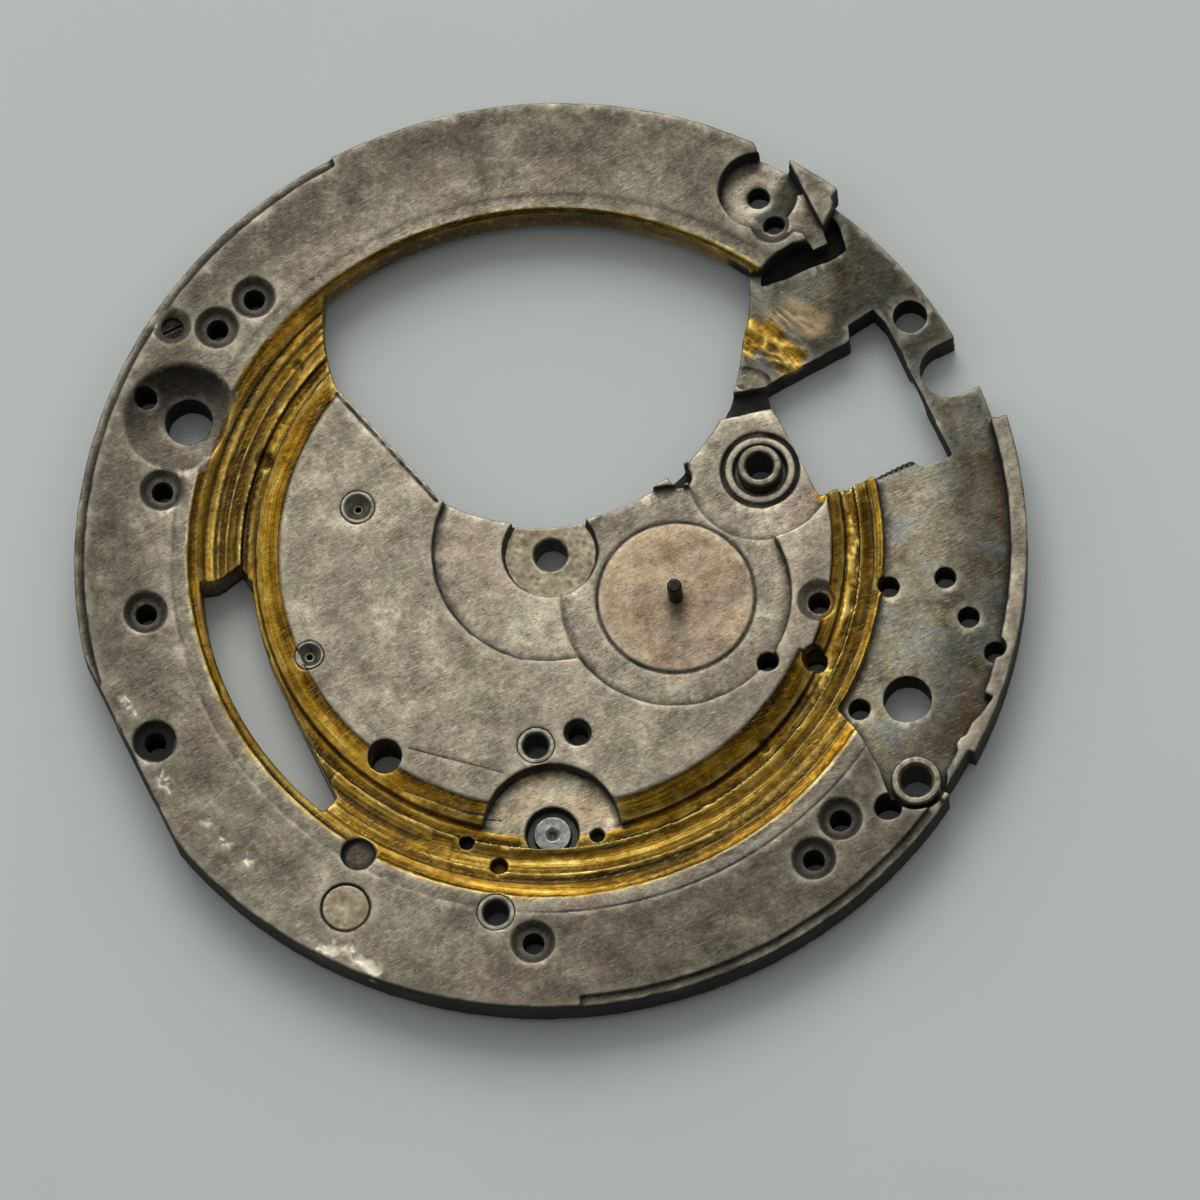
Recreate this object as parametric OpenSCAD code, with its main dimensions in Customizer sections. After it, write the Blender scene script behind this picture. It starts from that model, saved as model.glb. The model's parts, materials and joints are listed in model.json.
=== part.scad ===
// Stripped mainplate of a wristwatch movement, dial side up.
// Millimetres. Z = 0 is the bridge-side face, and +Z points to the dial.
// The origin is on the centre hole, and +X runs along the winding stem.

/* [Plate] */
// Diameter of the plate over its casing band
plate_d = 26.0; // [25.8:0.1:27]
// Thickness from the bridge-side face to the dial-side face
plate_t = 1.6; // [1.55:0.05:2]
// Height of the full-diameter band, down from the dial side
band_h = 1.25; // [1.1:0.05:1.35]
// How far the body under the band is turned back
band_inset = 0.3; // [0.15:0.05:0.4]
// Width of the low rim step outside the dial seat
rim_step_w = 0.27; // [0.15:0.01:0.35]
// Depth of that rim step
rim_step_drop = 0.12; // [0.05:0.01:0.2]
// Distance from the centre to the milled casing flat
flat_x = 12.65; // [12.5:0.05:12.9]

/* [Turned channel] */
// Outer radius of the turned channel
channel_r = 9.93; // [9.8:0.01:10.1]
// Radius of the inner disc
disc_r = 7.38; // [7.2:0.01:7.5]
// Width of the dull sloping ledge beside the disc
ledge_w = 0.66; // [0.5:0.01:0.75]
// Depth of that ledge at its outer edge
ledge_drop = 0.2; // [0.1:0.01:0.3]
// Depth of the channel floor
channel_drop = 0.5; // [0.4:0.01:0.55]
// Radius of the shallow seat round the channel
seat_r = 10.33; // [10.2:0.01:10.5]
// Depth of that seat
seat_drop = 0.03; // [0.02:0.01:0.08]
// Depth of one tool groove in the channel
groove_drop = 0.035; // [0.02:0.005:0.05]
// Pitch of the tool grooves
groove_pitch = 0.11; // [0.09:0.01:0.14]

/* [Dial side recesses] */
// Radius of the hour-wheel recess
hour_r = 3.21; // [3:0.01:3.4]
// Depth of the hour-wheel recess
hour_drop = 0.22; // [0.1:0.01:0.3]
// Radius of the minute-wheel recess
minute_r = 3.15; // [3:0.01:3.3]
// Depth of the minute-wheel recess
minute_drop = 0.26; // [0.15:0.01:0.35]
// Radius of the worn seat under the minute wheel
minute_seat_r = 2.12; // [1.9:0.01:2.3]
// Radius of the setting-wheel recess
setting_r = 1.98; // [1.8:0.01:2.1]
// Depth of the setting-wheel recess
setting_drop = 0.32; // [0.28:0.01:0.4]
// Radius of the half-moon recess at the channel
moon_r = 1.88; // [1.7:0.01:2]
// Radius of the dished sink beside the dial edge
dish_r = 1.62; // [1.4:0.01:1.8]
// Depth of that dish
dish_drop = 0.5; // [0.3:0.01:0.6]

/* [Keyless works] */
// Depth of the keyless floor below the dial side
key_drop = 0.55; // [0.45:0.01:0.65]
// Width of the rim left standing outside the keyless floor
lip_w = 0.45; // [0.4:0.01:0.5]
// Depth of the milled trench beside the ring end
trench_drop = 1.05; // [0.9:0.01:1.08]
// Depth of the step between the setting recess and the keyless floor
step_drop = 0.98; // [0.7:0.01:1.05]
// Length of the clutch window along the stem
window_l = 3.85; // [3.6:0.01:3.9]
// Width of the clutch window
window_w = 3.7; // [3.4:0.01:3.9]
// Radius of the notch that the stem comes in through
stem_notch_r = 0.78; // [0.7:0.01:0.85]
// Radius of the stem channel on the bridge side
stem_r = 0.5; // [0.4:0.01:0.55]

/* [Openings] */
// Radius of the barrel opening
barrel_open_r = 5.52; // [5.4:0.01:5.55]
// Metal left between the centre hole and the barrel opening
open_wall = 0.33; // [0.25:0.01:0.4]
// Radius at which the ring closes the barrel opening
ring_open_r = 9.78; // [9.6:0.01:9.85]
// Inner radius of the curved slot
slot_in_r = 8.18; // [8.1:0.01:8.3]
// Width of the curved slot
slot_w = 1.4; // [1.2:0.01:1.5]

/* [Holes] */
// Radius of the tapped screw holes
tapped_r = 0.37; // [0.3:0.01:0.4]
// Radius of the sinks round the tapped holes
sink_r = 0.61; // [0.5:0.01:0.66]
// Depth of those sinks
sink_drop = 0.22; // [0.1:0.01:0.3]
// Radius of the dial-foot hole
foot_r = 0.65; // [0.5:0.01:0.7]
// Radius of the medium clearance holes
medium_r = 0.46; // [0.4:0.01:0.5]
// Radius of the small steady holes
steady_r = 0.3; // [0.25:0.01:0.33]
// Radius of the pin-prick holes
tiny_r = 0.2; // [0.15:0.01:0.24]

/* [Pressed pieces] */
// Radial gap between a pressed piece and its hole
press_gap = 0.004; // [0.002:0.001:0.006]
// Radius of the centre hole
centre_r = 0.45; // [0.35:0.01:0.55]
// Radius of the centre bush's head
bush_head_r = 1.26; // [1.15:0.01:1.35]
// Radius of the centre bush's shank
bush_shank_r = 0.7; // [0.62:0.01:0.75]
// Thickness of the centre bush's head
bush_head_t = 0.35; // [0.25:0.01:0.45]
// Depth of the centre bush's head below the dial side
centre_drop = 0.55; // [0.45:0.01:0.65]
// Radius of the minute-wheel post
post_r = 0.2; // [0.15:0.01:0.25]
// Height of the minute-wheel post above its seat
post_h = 1.05; // [0.9:0.05:1.5]
// Outer radius of the setting-wheel post
setting_post_r = 0.6; // [0.55:0.01:0.65]
// Height of the setting-wheel post above its recess
setting_post_h = 0.36; // [0.25:0.01:0.5]
// Outer radius of the screw tube at the ring's end
tube_r = 0.7; // [0.6:0.01:0.75]
// Bore radius of that tube
tube_bore_r = 0.42; // [0.36:0.01:0.46]
// Radius of the filler plug
plug_r = 0.66; // [0.55:0.01:0.72]
// Radius of the steel endstone in the half-moon recess
stone_r = 0.5; // [0.44:0.01:0.56]
// Radius of the larger pivot bush
pivot_big_r = 0.46; // [0.4:0.01:0.5]
// Radius of the smaller pivot bush
pivot_small_r = 0.39; // [0.34:0.01:0.42]
// Radius of the pivot holes
pivot_hole_r = 0.08; // [0.06:0.01:0.1]
// Outer radius of the thin steady bushes
steady_bush_r = 0.5; // [0.46:0.01:0.54]
// Bore radius of the thin steady bushes
steady_bore_r = 0.34; // [0.3:0.01:0.37]

/* [Hidden] */
$fn = 24;

// Clearance by which a cutter runs past a face, and how far out it runs past the plate
over = 0.1;
plate_r = plate_d / 2;
far = plate_r + 1;
body_r = plate_r - band_inset;
ledge_r = disc_r + ledge_w;
key_z = plate_t - key_drop;
channel_z = plate_t - channel_drop;
moon_z = channel_z - 0.02;
minute_z = plate_t - minute_drop;
setting_z = plate_t - setting_drop;
bush_top_z = plate_t - centre_drop;
lip_in_r = plate_r - lip_w;

// Angles round the plate, counter-clockwise from the stem
lip_from = 306.5;
lip_to = 350.5;
open_edge_to = 386.6;
slot_from = 158.5;
slot_to = 204.3;
rim_steps = [[92, 171], [248, 299.5]];

// Centres of the dial-side recesses
hour_pos = [0, 0];
minute_pos = [2.49, -2.74];
setting_pos = [6.12, -0.52];
moon_pos = [-3.44, -7.26];
dish_pos = rim([2.14, 132.6]);
dish_hole_pos = rim([2.3, 132.3]);
dish_ball_r = (dish_r * dish_r + dish_drop * dish_drop) / (2 * dish_drop);
dish_pin_pos = rim([0.96, 131.5]);
half_hole_pos = rim([2.97, 213.2]);

// The barrel opening is three overlapping circles, cut off by the ring and by a straight edge
barrel_pos = polar(centre_r + open_wall + barrel_open_r, 66.6);
barrel_side_r = barrel_open_r - 0.37;
barrel_side_pos = barrel_pos + [1.1, 0.92];
barrel_top_r = barrel_open_r + 0.12;
barrel_top_pos = barrel_pos + [-0.06, 0.67];
barrel_edge = [[-3.2, 6.9], [-2.1, 2.9]];

// Keyless works: the window lies on the stem axis
window_x = 7.25;
spot_pos = [9.64, 6.81];
spot_r = 1.08;
spot_drop = 0.7;
boss_drop = 0.3;
boss_line_x = 10.76;
tube_pos = rim([0.99, 299.9]);
tube_floor = [[5.0, -5], [5.0, -7.4], [5.2, -8.4], [5.25, -9.6], [5.15, -10.3], [5.9, -11.0], [6.45, -11.22],
              [6.6, -11.6], [7.4, -11.3], [7.2, -10.65], [7.33, -10.27], [7.4, -9.98], [7.6, -9.87], [9.6, -10]];
lip_pass_pos = [6.9, -6.1];
lip_pass_r = 3.72;
foot_pos = [6.85, -8.1];
post_hole_pos = setting_pos + [0.03, 0.07];
notch_x = 12.05;
stem_y = -0.12;

// Screw holes with a sink, each as its inset from the plate's edge and its angle, and then plain ones
sunk_holes = [[1.96, 111.8], [1.73, 118.5], [2.22, 144.1], [1.87, 162.6], [1.04, 180.6],
              [1.83, 242.0], [1.9, 289.3], [1.56, 282.8]];
plain_holes = [[-1.6, -5.08], [5.1, -6.06], [9.31, -5.44], [9.37, -6.75], [7.82, -4.99],
               [5.56, -7.77], [9.64, 6.81], [4.97, -10.75]];
steady_holes = [[9.57, -7.99], [3.9, -5.56], dish_pin_pos, [5.89, -4.64], [9.66, 5.85]];
medium_holes = [[-6.55, -3.31], [11.8, 1.76]];
tiny_holes = [[-5.6, -6.43], [-2.35, -7.8]];

// Pressed pieces
stub_pos = rim([0.67, 121.6]);
stub_top_z = plate_t - 0.3;
plug_pos = rim([1.49, 215.7]);
plug_top_z = plate_t - 0.04;
stone_pos = [-3.41, -7.18];
stone_head_r = stone_r + 0.225;
stone_head_t = 0.3;
stone_top_z = plate_t - 0.68;
stone_well_z = plate_t - 0.38;
pivot_big_pos = [-4.16, 3.44];
pivot_small_pos = [-7.16, 0.2];
steady_bush_pos = [[-2.77, -4.9], rim([2.58, 236.3])];
rivet_r = 0.54;
post_shank_r = post_r + 0.05;
setting_collar_r = setting_post_r + 0.02;

// Pockets on the bridge side
barrel_pocket_r = 6.2;
barrel_pocket_z = 0.5;
balance_pocket_r = 4.3;
balance_pocket_z = 0.4;
third_pocket_r = 1.8;
third_pocket_z = 0.25;

// Point at a radius and an angle
function polar(r, a) = [r * cos(a), r * sin(a)];

// Point given by its inset from the plate's edge and its angle
function rim(p) = polar(plate_r - p[0], p[1]);

// Wedge-shaped outline that covers the angles a to b out to radius r
function wedge(r, a, b, n = 12) =
    concat([[0, 0]], [for (i = [0 : n]) polar(r, a + (b - a) * i / n)]);

// One row of tool grooves: alternating crest and root points from radius a to radius b
function grooves(a, b, za, zb, n) =
    [for (i = [0 : 2 * n]) let (t = i / (2 * n))
        [a + (b - a) * t, za + (zb - za) * t - (i % 2) * groove_drop]];

// Number of grooves that fit between two radii
function groove_count(a, b) = max(1, round((b - a) / groove_pitch));

module at(p, z = 0) {
    translate([p[0], p[1], z]) children();
}

// Number of sides that keeps a circle of radius r round to the eye
function sides(r) = r < 0.8 ? 18 : r < 4 ? 36 : 78;

// Cylinder between two heights
module rod(r, z0, z1) {
    translate([0, 0, z0]) cylinder(r = r, h = z1 - z0, $fn = sides(r));
}

// Cone between two heights
module taper(r0, r1, z0, z1) {
    translate([0, 0, z0]) cylinder(r1 = r0, r2 = r1, h = z1 - z0, $fn = sides(r1));
}

// Ring sector between two radii, two angles and two heights
module sector(r0, r1, a, b, z0, z1) {
    intersection() {
        difference() {
            rod(r1, z0, z1);
            rod(r0, z0 - over, z1 + over);
        }
        translate([0, 0, z0 - over]) linear_extrude(z1 - z0 + 2 * over)
            polygon(wedge(2 * r1, a, b));
    }
}

// Flat pocket with a drawn outline, open to the dial side
module pocket(z, points) {
    translate([0, 0, z]) linear_extrude(plate_t - z + over) polygon(points);
}

// Turned blank: band, dial seat and the channel with its ledges and tool grooves
module blank() {
    r1 = ledge_r + 0.41;
    r2 = r1 + 0.4;
    r3 = r2 + 0.33;
    r4 = r3 + 0.29;
    r5 = r4 + 0.27;
    z1 = plate_t - 0.3;
    z2 = plate_t - 0.4;
    z3 = plate_t - 0.32;
    z4 = plate_t - 0.22;
    z5 = plate_t - 0.14;
    rotate_extrude($fn = sides(plate_r)) polygon(concat(
        [[0, 0], [body_r, 0], [body_r, plate_t - band_h], [plate_r, plate_t - band_h],
         [plate_r, plate_t], [seat_r, plate_t], [seat_r, plate_t - seat_drop],
         [channel_r, plate_t - seat_drop]],
        grooves(channel_r - 0.03, r5, plate_t - 0.07, z5, groove_count(r5, channel_r)),
        [[r4, z4]],
        grooves(r4, r3, z4 - 0.06, z4 - 0.04, groove_count(r3, r4)),
        grooves(r3, r2, z3, z3, groove_count(r2, r3)),
        [[r2, z2], [r1, z1]],
        grooves(r1, ledge_r, channel_z, channel_z + 0.04, groove_count(ledge_r, r1)),
        [[ledge_r, plate_t - ledge_drop], [disc_r, plate_t - 0.06], [disc_r, plate_t], [0, plate_t]]));
}

// Stretch of the channel beside the slot that the second turning left higher
module channel_block() {
    top = plate_t - 0.33;
    sector(ledge_r + 0.38, ledge_r + 1.38, slot_to - 3, 226.5, channel_z - 0.2, top);
    sector(ledge_r + 0.38, ledge_r + 0.72, slot_to - 3, 222.5, channel_z - 0.2, top + 0.04);
}

// Outline of the barrel opening, seen from the dial side
module barrel_outline() {
    intersection() {
        circle(r = ring_open_r, $fn = sides(ring_open_r));
        union() {
            translate(barrel_pos) circle(r = barrel_open_r, $fn = sides(barrel_open_r));
            translate(barrel_side_pos) circle(r = barrel_side_r, $fn = sides(barrel_side_r));
            translate(barrel_top_pos) circle(r = barrel_top_r, $fn = sides(barrel_top_r));
        }
        polygon(concat(barrel_edge, [[-2.1, 0], [12, 0], [12, 12], [-4.6, 12]]));
    }
}

module barrel_opening() {
    translate([0, 0, -over]) linear_extrude(plate_t + 2 * over) barrel_outline();
}

// Curved slot beside the channel, with a straight lower edge
module curved_slot() {
    difference() {
        union() {
            sector(slot_in_r, slot_in_r + slot_w, slot_from, slot_to, -over, plate_t + over);
            translate([0, 0, -over]) linear_extrude(plate_t + 2 * over)
                polygon([polar(slot_in_r + slot_w - 0.05, slot_from + 1), polar(slot_in_r + 0.75, slot_from - 0.8),
                         polar(slot_in_r + 0.3, slot_from - 3), polar(slot_in_r, slot_from + 1)]);
        }
        translate([-slot_in_r - 0.02, -6, -2 * over]) cube([2, 5.6, plate_t + 4 * over]);
    }
}

// Clutch window on the stem axis, with the two lever notches at its outer corners; its upper edge slants
module clutch_window() {
    x1 = window_x + window_l;
    y0 = stem_y - window_w / 2;
    y1 = stem_y + window_w / 2;
    translate([0, 0, -over]) linear_extrude(plate_t + 2 * over)
        polygon([[window_x, y0 + 0.12], [window_x, y1 - 0.6], [window_x + 0.15, y1], [x1 - 1.08, y1 + 0.13],
                 [x1 - 0.92, y1 + 0.56], [x1 - 0.12, y1 + 0.66], [x1 + 0.02, y1 + 0.15],
                 [x1 - 0.06, y0 - 0.41], [x1 - 0.96, y0 - 0.32], [x1 - 1.11, y0], [window_x + 1.1, y0 - 0.04]]);
}

// Floor of the keyless works, on both sides of the window
module keyless_floor() {
    inner_r = channel_r - 0.85;
    pocket(key_z, [[5.6, 1.62], [window_x + 0.05, 1.05], [11, 1], [11, -2], [far, -2], [far, 5.9], [11.5, 5.76],
                   [11.27, 5.44], [boss_line_x + 0.08, 5.0], [10.7, 4.6], [10.25, 4.62],
                   [9.78, 4.96], [9.28, 4.9], [8.7, 4.69], [8.3, 4.9], [5.6, 4.9]]);
    intersection() {
        sector(inner_r, lip_in_r, 296, 352, key_z, plate_t + over);
        pocket(key_z, concat(tube_floor, [[far, -8], [far, -1.9], [8, -1.9]]));
    }
    difference() {
        intersection() {
            at(lip_pass_pos) rod(lip_pass_r, key_z, plate_t + over);
            pocket(key_z, tube_floor);
        }
        rod(inner_r, key_z - over, plate_t + 2 * over);
    }
    at(tube_pos) rod(tube_r + 0.13, key_z, plate_t + over);
}

// Trench at the ring's end and the step beside the setting recess
module trenches() {
    pocket(plate_t - trench_drop, [[8.55, 4.4], [8.7, 4.69], [9.28, 4.9], [9.78, 4.96], [10.25, 4.85], [10.25, 4.6],
               [10.7, 4.59], [boss_line_x, 5.0], [11.18, 5.36], [11.22, 5.0], [11.1, 4.3], [10.65, 4.2],
               [9.9, 4.3], [9.2, 4.3]]);
    pocket(plate_t - step_drop, [[5.9, 2.1], [window_x + 0.25, 1.68], [window_x + 0.1, 0.98], [5.8, 1.35]]);
}

// Spot face and boss at the ring's end, and the edge trimmed back round them
module ring_end() {
    at(spot_pos) rod(spot_r, plate_t - spot_drop, plate_t + over);
    pocket(plate_t - boss_drop, [[9.7, 6.3], [boss_line_x, 7.2], [boss_line_x, 4.95], [10.7, 4.59],
                                 [10.23, 4.6], [10.2, 5.1], [9.7, 5.5]]);
    pocket(plate_t - spot_drop, [[spot_pos[0], 6.6], [boss_line_x, 6.2], [boss_line_x - 0.06, 7.6], [10.4, 8.6],
                                 [10.16, 8.6], [10.16, 7.6]]);
    sector(body_r + 0.1, plate_r + over, 33.6, 37.9, -over, plate_t + over);
}

// Edge of the plate: casing flat, open stretch at the stem and the low rim steps
module edge_cuts() {
    translate([-plate_r - over, -plate_r, -over]) cube([plate_r - flat_x + over, plate_d, plate_t + 2 * over]);
    sector(body_r - 0.06, plate_r + over, lip_to, open_edge_to, -over, plate_t + over);
    sector(plate_r - 0.2, plate_r + over, 300.6, lip_from, -over, plate_t + over);
    for (a = rim_steps)
        sector(plate_r - rim_step_w, plate_r + over, a[0], a[1], plate_t - rim_step_drop, plate_t + over);
}

// Recesses for the hour wheel, minute wheel, setting wheel and balance endstone
module dial_recesses() {
    at(hour_pos) rod(hour_r, plate_t - hour_drop, plate_t + over);
    at(hour_pos) rod(bush_head_r + 0.05, bush_top_z, plate_t);
    at(minute_pos) difference() {
        rod(minute_r, minute_z, plate_t + over);
        rod(minute_seat_r, minute_z - over, minute_z + 0.04);
    }
    at(minute_pos) difference() {
        rod(minute_seat_r + 0.1, minute_z - 0.04, plate_t);
        rod(minute_seat_r, minute_z - over, minute_z + 0.04);
    }
    at(setting_pos) rod(setting_r, setting_z, plate_t + over);
    at(post_hole_pos) difference() {
        rod(setting_post_r + 0.49, setting_z - 0.12, plate_t);
        rod(setting_post_r + 0.36, setting_z - 0.2, setting_z + 0.01);
    }
    at(post_hole_pos) rod(setting_post_r + 0.15, setting_z - 0.3, plate_t);
    at(moon_pos) intersection() {
        rod(moon_r, moon_z, plate_t + over);
        at([-moon_pos[0], -moon_pos[1]]) rod(ledge_r + 0.02, moon_z - over, plate_t + 2 * over);
    }
    at(dish_pos, plate_t - dish_drop + dish_ball_r) sphere(r = dish_ball_r, $fn = sides(dish_ball_r));
    at(half_hole_pos) rod(medium_r, plate_t - 0.3, plate_t + over);
    at([-5.12, -7.45]) rod(tiny_r + 0.03, plate_t - 0.85, plate_t);
    at([4.1, 0.33]) rod(steady_r + 0.02, plate_t - 0.9, plate_t);
}

// Drilled holes, through the whole plate
module drilled_holes() {
    for (p = sunk_holes) at(rim(p)) {
        rod(tapped_r, -over, plate_t);
        taper(tapped_r + 0.1, sink_r, plate_t - sink_drop, plate_t);
        rod(sink_r, plate_t, plate_t + over);
    }
    for (p = plain_holes) at(p) rod(tapped_r, -over, plate_t + over);
    for (p = steady_holes) at(p) rod(steady_r, -over, plate_t + over);
    for (p = medium_holes) at(p) rod(medium_r, -over, plate_t + over);
    for (p = tiny_holes) at(p) rod(tiny_r, -over, plate_t + over);
    at(foot_pos) rod(foot_r, -over, plate_t + over);
    at(dish_hole_pos) rod(foot_r, -over, plate_t + over);
    at([5.89, -4.64]) taper(steady_r + 0.1, sink_r, plate_t - 0.25, plate_t + 0.01);
    at([9.6, 5.78]) taper(steady_r + 0.06, sink_r + 0.05, plate_t - 0.42, plate_t + 0.02);
    at([notch_x, stem_y]) rod(stem_notch_r, -over, plate_t + over);
    translate([notch_x, stem_y - stem_notch_r * 0.98, -over])
        cube([far, stem_notch_r * 1.96, plate_t + 2 * over]);
}

// Seats for the pressed pieces
module press_seats() {
    rod(bush_shank_r + press_gap, -over, plate_t);
    rod(bush_head_r + press_gap, bush_top_z - bush_head_t, plate_t);
    at(minute_pos) taper(post_shank_r + 0.04 + press_gap, post_shank_r + press_gap, 0, minute_z);
    at(post_hole_pos) rod(rivet_r + press_gap, -over, plate_t);
    at(tube_pos) rod(rivet_r + 0.06 + press_gap, -over, plate_t);
    at(plug_pos) rod(plug_r + press_gap, -over, plate_t + over);
    at(stub_pos) rod(steady_r + press_gap, -over, plate_t + over);
    at(stub_pos) taper(steady_r + 0.05, sink_r - 0.06, plate_t - 0.15, plate_t + 0.01);
    at(stone_pos) rod(stone_head_r + press_gap, -over, stone_well_z);
    at(pivot_big_pos) rod(pivot_big_r + press_gap, -over, plate_t + over);
    at(pivot_small_pos) rod(pivot_small_r + press_gap, -over, plate_t + over);
    for (p = steady_bush_pos) at(p) rod(steady_bush_r + press_gap, -over, plate_t + over);
}

// Bridge side: barrel, balance and third-wheel pockets and the stem channel
module bridge_side() {
    at(barrel_pos) rod(barrel_pocket_r, -over, barrel_pocket_z);
    at(stone_pos) rod(balance_pocket_r, -over, balance_pocket_z);
    at(pivot_big_pos) rod(third_pocket_r, -over, third_pocket_z);
    translate([notch_x - 1.2, stem_y, 0]) rotate([0, 90, 0]) cylinder(r = stem_r, h = far);
}

module mainplate() {
    color("darkkhaki") difference() {
        union() {
            blank();
            sector(disc_r - 0.1, disc_r + 0.32, 310.5, 345, channel_z - 0.2, plate_t);
            channel_block();
        }
        barrel_opening();
        curved_slot();
        keyless_floor();
        clutch_window();
        trenches();
        ring_end();
        edge_cuts();
        dial_recesses();
        drilled_holes();
        press_seats();
        bridge_side();
    }
}

// Riveted bush that carries the centre wheel, cut off by the barrel opening
module centre_bush() {
    color("wheat") difference() {
        union() {
            rod(bush_head_r, bush_top_z - bush_head_t, bush_top_z);
            rod(bush_shank_r, 0, bush_top_z);
        }
        rod(centre_r, -over, bush_top_z + over);
        taper(centre_r - 0.02, centre_r + 0.08, bush_top_z - 0.08, bush_top_z + 0.02);
        barrel_opening();
    }
}

// Steel post for the minute wheel, on a tapered shank driven into the plate
module minute_wheel_post() {
    color("dimgray") at(minute_pos) {
        taper(post_shank_r + 0.04, post_shank_r, 0, minute_z);
        rod(post_r, minute_z, minute_z + post_h - 0.05);
        taper(post_r, post_r - 0.05, minute_z + post_h - 0.05, minute_z + post_h);
    }
}

// Collared tube for the setting wheel, riveted through the plate
module setting_wheel_post() {
    top = setting_z + setting_post_h;
    color("silver") at(post_hole_pos) difference() {
        union() {
            rod(setting_collar_r, setting_z - 0.3, setting_z + 0.02);
            rod(setting_post_r, setting_z, top - 0.04);
            taper(setting_post_r, setting_post_r - 0.05, top - 0.04, top);
            rod(rivet_r, 0, setting_z);
        }
        rod(tapped_r, -over, top + over);
        taper(tapped_r - 0.01, tapped_r + 0.07, top - 0.07, top + 0.01);
    }
}

// Screw tube at the ring's end, with a collar on the keyless floor
module ring_screw_tube() {
    top = plate_t - 0.05;
    color("silver") at(tube_pos) difference() {
        union() {
            rod(tube_r, key_z, top - 0.06);
            taper(tube_r, tube_r - 0.06, top - 0.06, top);
            rod(rivet_r + 0.06, 0, top);
        }
        rod(tube_bore_r, -over, top + over);
        taper(tube_bore_r - 0.01, tube_bore_r + 0.1, top - 0.1, top + 0.01);
    }
}

// Plug that fills an unused hole
module filler_plug() {
    color("tan") at(plug_pos) difference() {
        rod(plug_r, 0, plug_top_z);
        difference() {
            rod(plug_r + over, plug_top_z - 0.05, plug_top_z + over);
            taper(plug_r, plug_r - 0.06, plug_top_z - 0.05, plug_top_z + 0.01);
        }
    }
}

// Headed steel endstone with a dimple for the balance pivot
module balance_endstone() {
    color("lightsteelblue") at(stone_pos) difference() {
        union() {
            rod(stone_head_r, balance_pocket_z, balance_pocket_z + stone_head_t);
            rod(stone_r, balance_pocket_z, stone_top_z);
        }
        taper(0.02, 0.22, stone_top_z - 0.12, stone_top_z + 0.01);
    }
}

// Bush with an oil sink and a pivot hole
module pivot_bush(r, z0, sink_top_r, sink_bottom_r, depth) {
    difference() {
        rod(r, z0, plate_t);
        rod(pivot_hole_r, z0 - over, plate_t + over);
        taper(sink_bottom_r, sink_top_r, plate_t - depth, plate_t + 0.002);
    }
}

module large_pivot_bush() {
    color("slategray") at(pivot_big_pos)
        pivot_bush(pivot_big_r, third_pocket_z, pivot_big_r - 0.08, 0.12, 0.25);
}

// The smaller bush is cut by the ledge of the channel
module small_pivot_bush() {
    color("silver") difference() {
        at(pivot_small_pos) pivot_bush(pivot_small_r, 0, pivot_small_r - 0.06, 0.14, 0.22);
        sector(disc_r, disc_r + 1, 170, 190, plate_t - 0.1, plate_t + over);
    }
}

// Stub of a broken screw, left in its hole
module broken_screw() {
    color("gray") at(stub_pos) difference() {
        rod(steady_r, 0, stub_top_z);
        translate([-0.5, -0.04, stub_top_z - 0.1]) cube([1, 0.08, 0.2]);
    }
}

// Two thin bushes, alike, in the steady-pin holes; their feet stop at the balance pocket
module steady_bushes() {
    color("gainsboro") for (p = steady_bush_pos) at(p) difference() {
        rod(steady_bush_r, balance_pocket_z, plate_t - seat_drop);
        rod(steady_bore_r, 0, plate_t + over);
        taper(steady_bore_r - 0.01, steady_bore_r + 0.07, plate_t - seat_drop - 0.07, plate_t - seat_drop + 0.01);
    }
}

mainplate();
centre_bush();
minute_wheel_post();
setting_wheel_post();
ring_screw_tube();
filler_plug();
balance_endstone();
large_pivot_bush();
small_pivot_bush();
broken_screw();
steady_bushes();
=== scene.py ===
"""Worn look of a stripped wristwatch mainplate and its pressed pieces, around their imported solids."""

import itertools
import json
import logging
import math
from dataclasses import dataclass, field
from enum import Enum

import bpy
import numpy as np
from bpy.types import Material, Mesh, Node, NodeTree, Object
from mathutils import Matrix, Vector


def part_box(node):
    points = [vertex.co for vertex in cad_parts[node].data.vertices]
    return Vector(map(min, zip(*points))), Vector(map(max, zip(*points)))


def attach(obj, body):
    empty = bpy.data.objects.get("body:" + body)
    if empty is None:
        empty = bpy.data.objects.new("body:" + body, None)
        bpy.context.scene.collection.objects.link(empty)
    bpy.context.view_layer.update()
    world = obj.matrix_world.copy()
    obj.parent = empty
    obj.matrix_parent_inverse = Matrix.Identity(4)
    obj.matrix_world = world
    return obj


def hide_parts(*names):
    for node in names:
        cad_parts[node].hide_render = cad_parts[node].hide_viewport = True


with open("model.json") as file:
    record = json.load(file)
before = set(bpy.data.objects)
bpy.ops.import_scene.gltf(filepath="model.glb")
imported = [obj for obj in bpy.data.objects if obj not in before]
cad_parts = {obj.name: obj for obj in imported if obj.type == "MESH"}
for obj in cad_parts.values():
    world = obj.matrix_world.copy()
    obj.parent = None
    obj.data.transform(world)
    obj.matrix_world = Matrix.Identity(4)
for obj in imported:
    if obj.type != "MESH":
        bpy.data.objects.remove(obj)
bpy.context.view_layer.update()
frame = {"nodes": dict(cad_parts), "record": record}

LOG = logging.getLogger("mainplate")
MM = 0.001
BODY = "root"
RGBA = tuple[float, float, float, float]
Span = tuple[float, float]
Place = tuple[float, float]
Point = tuple[float, float, float]
Circle = tuple[float, float, float]
Stops = tuple[tuple[float, float], ...]
Tones = tuple[tuple[float, str], ...]
Array = np.ndarray
Socket = bpy.types.NodeSocket


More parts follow.
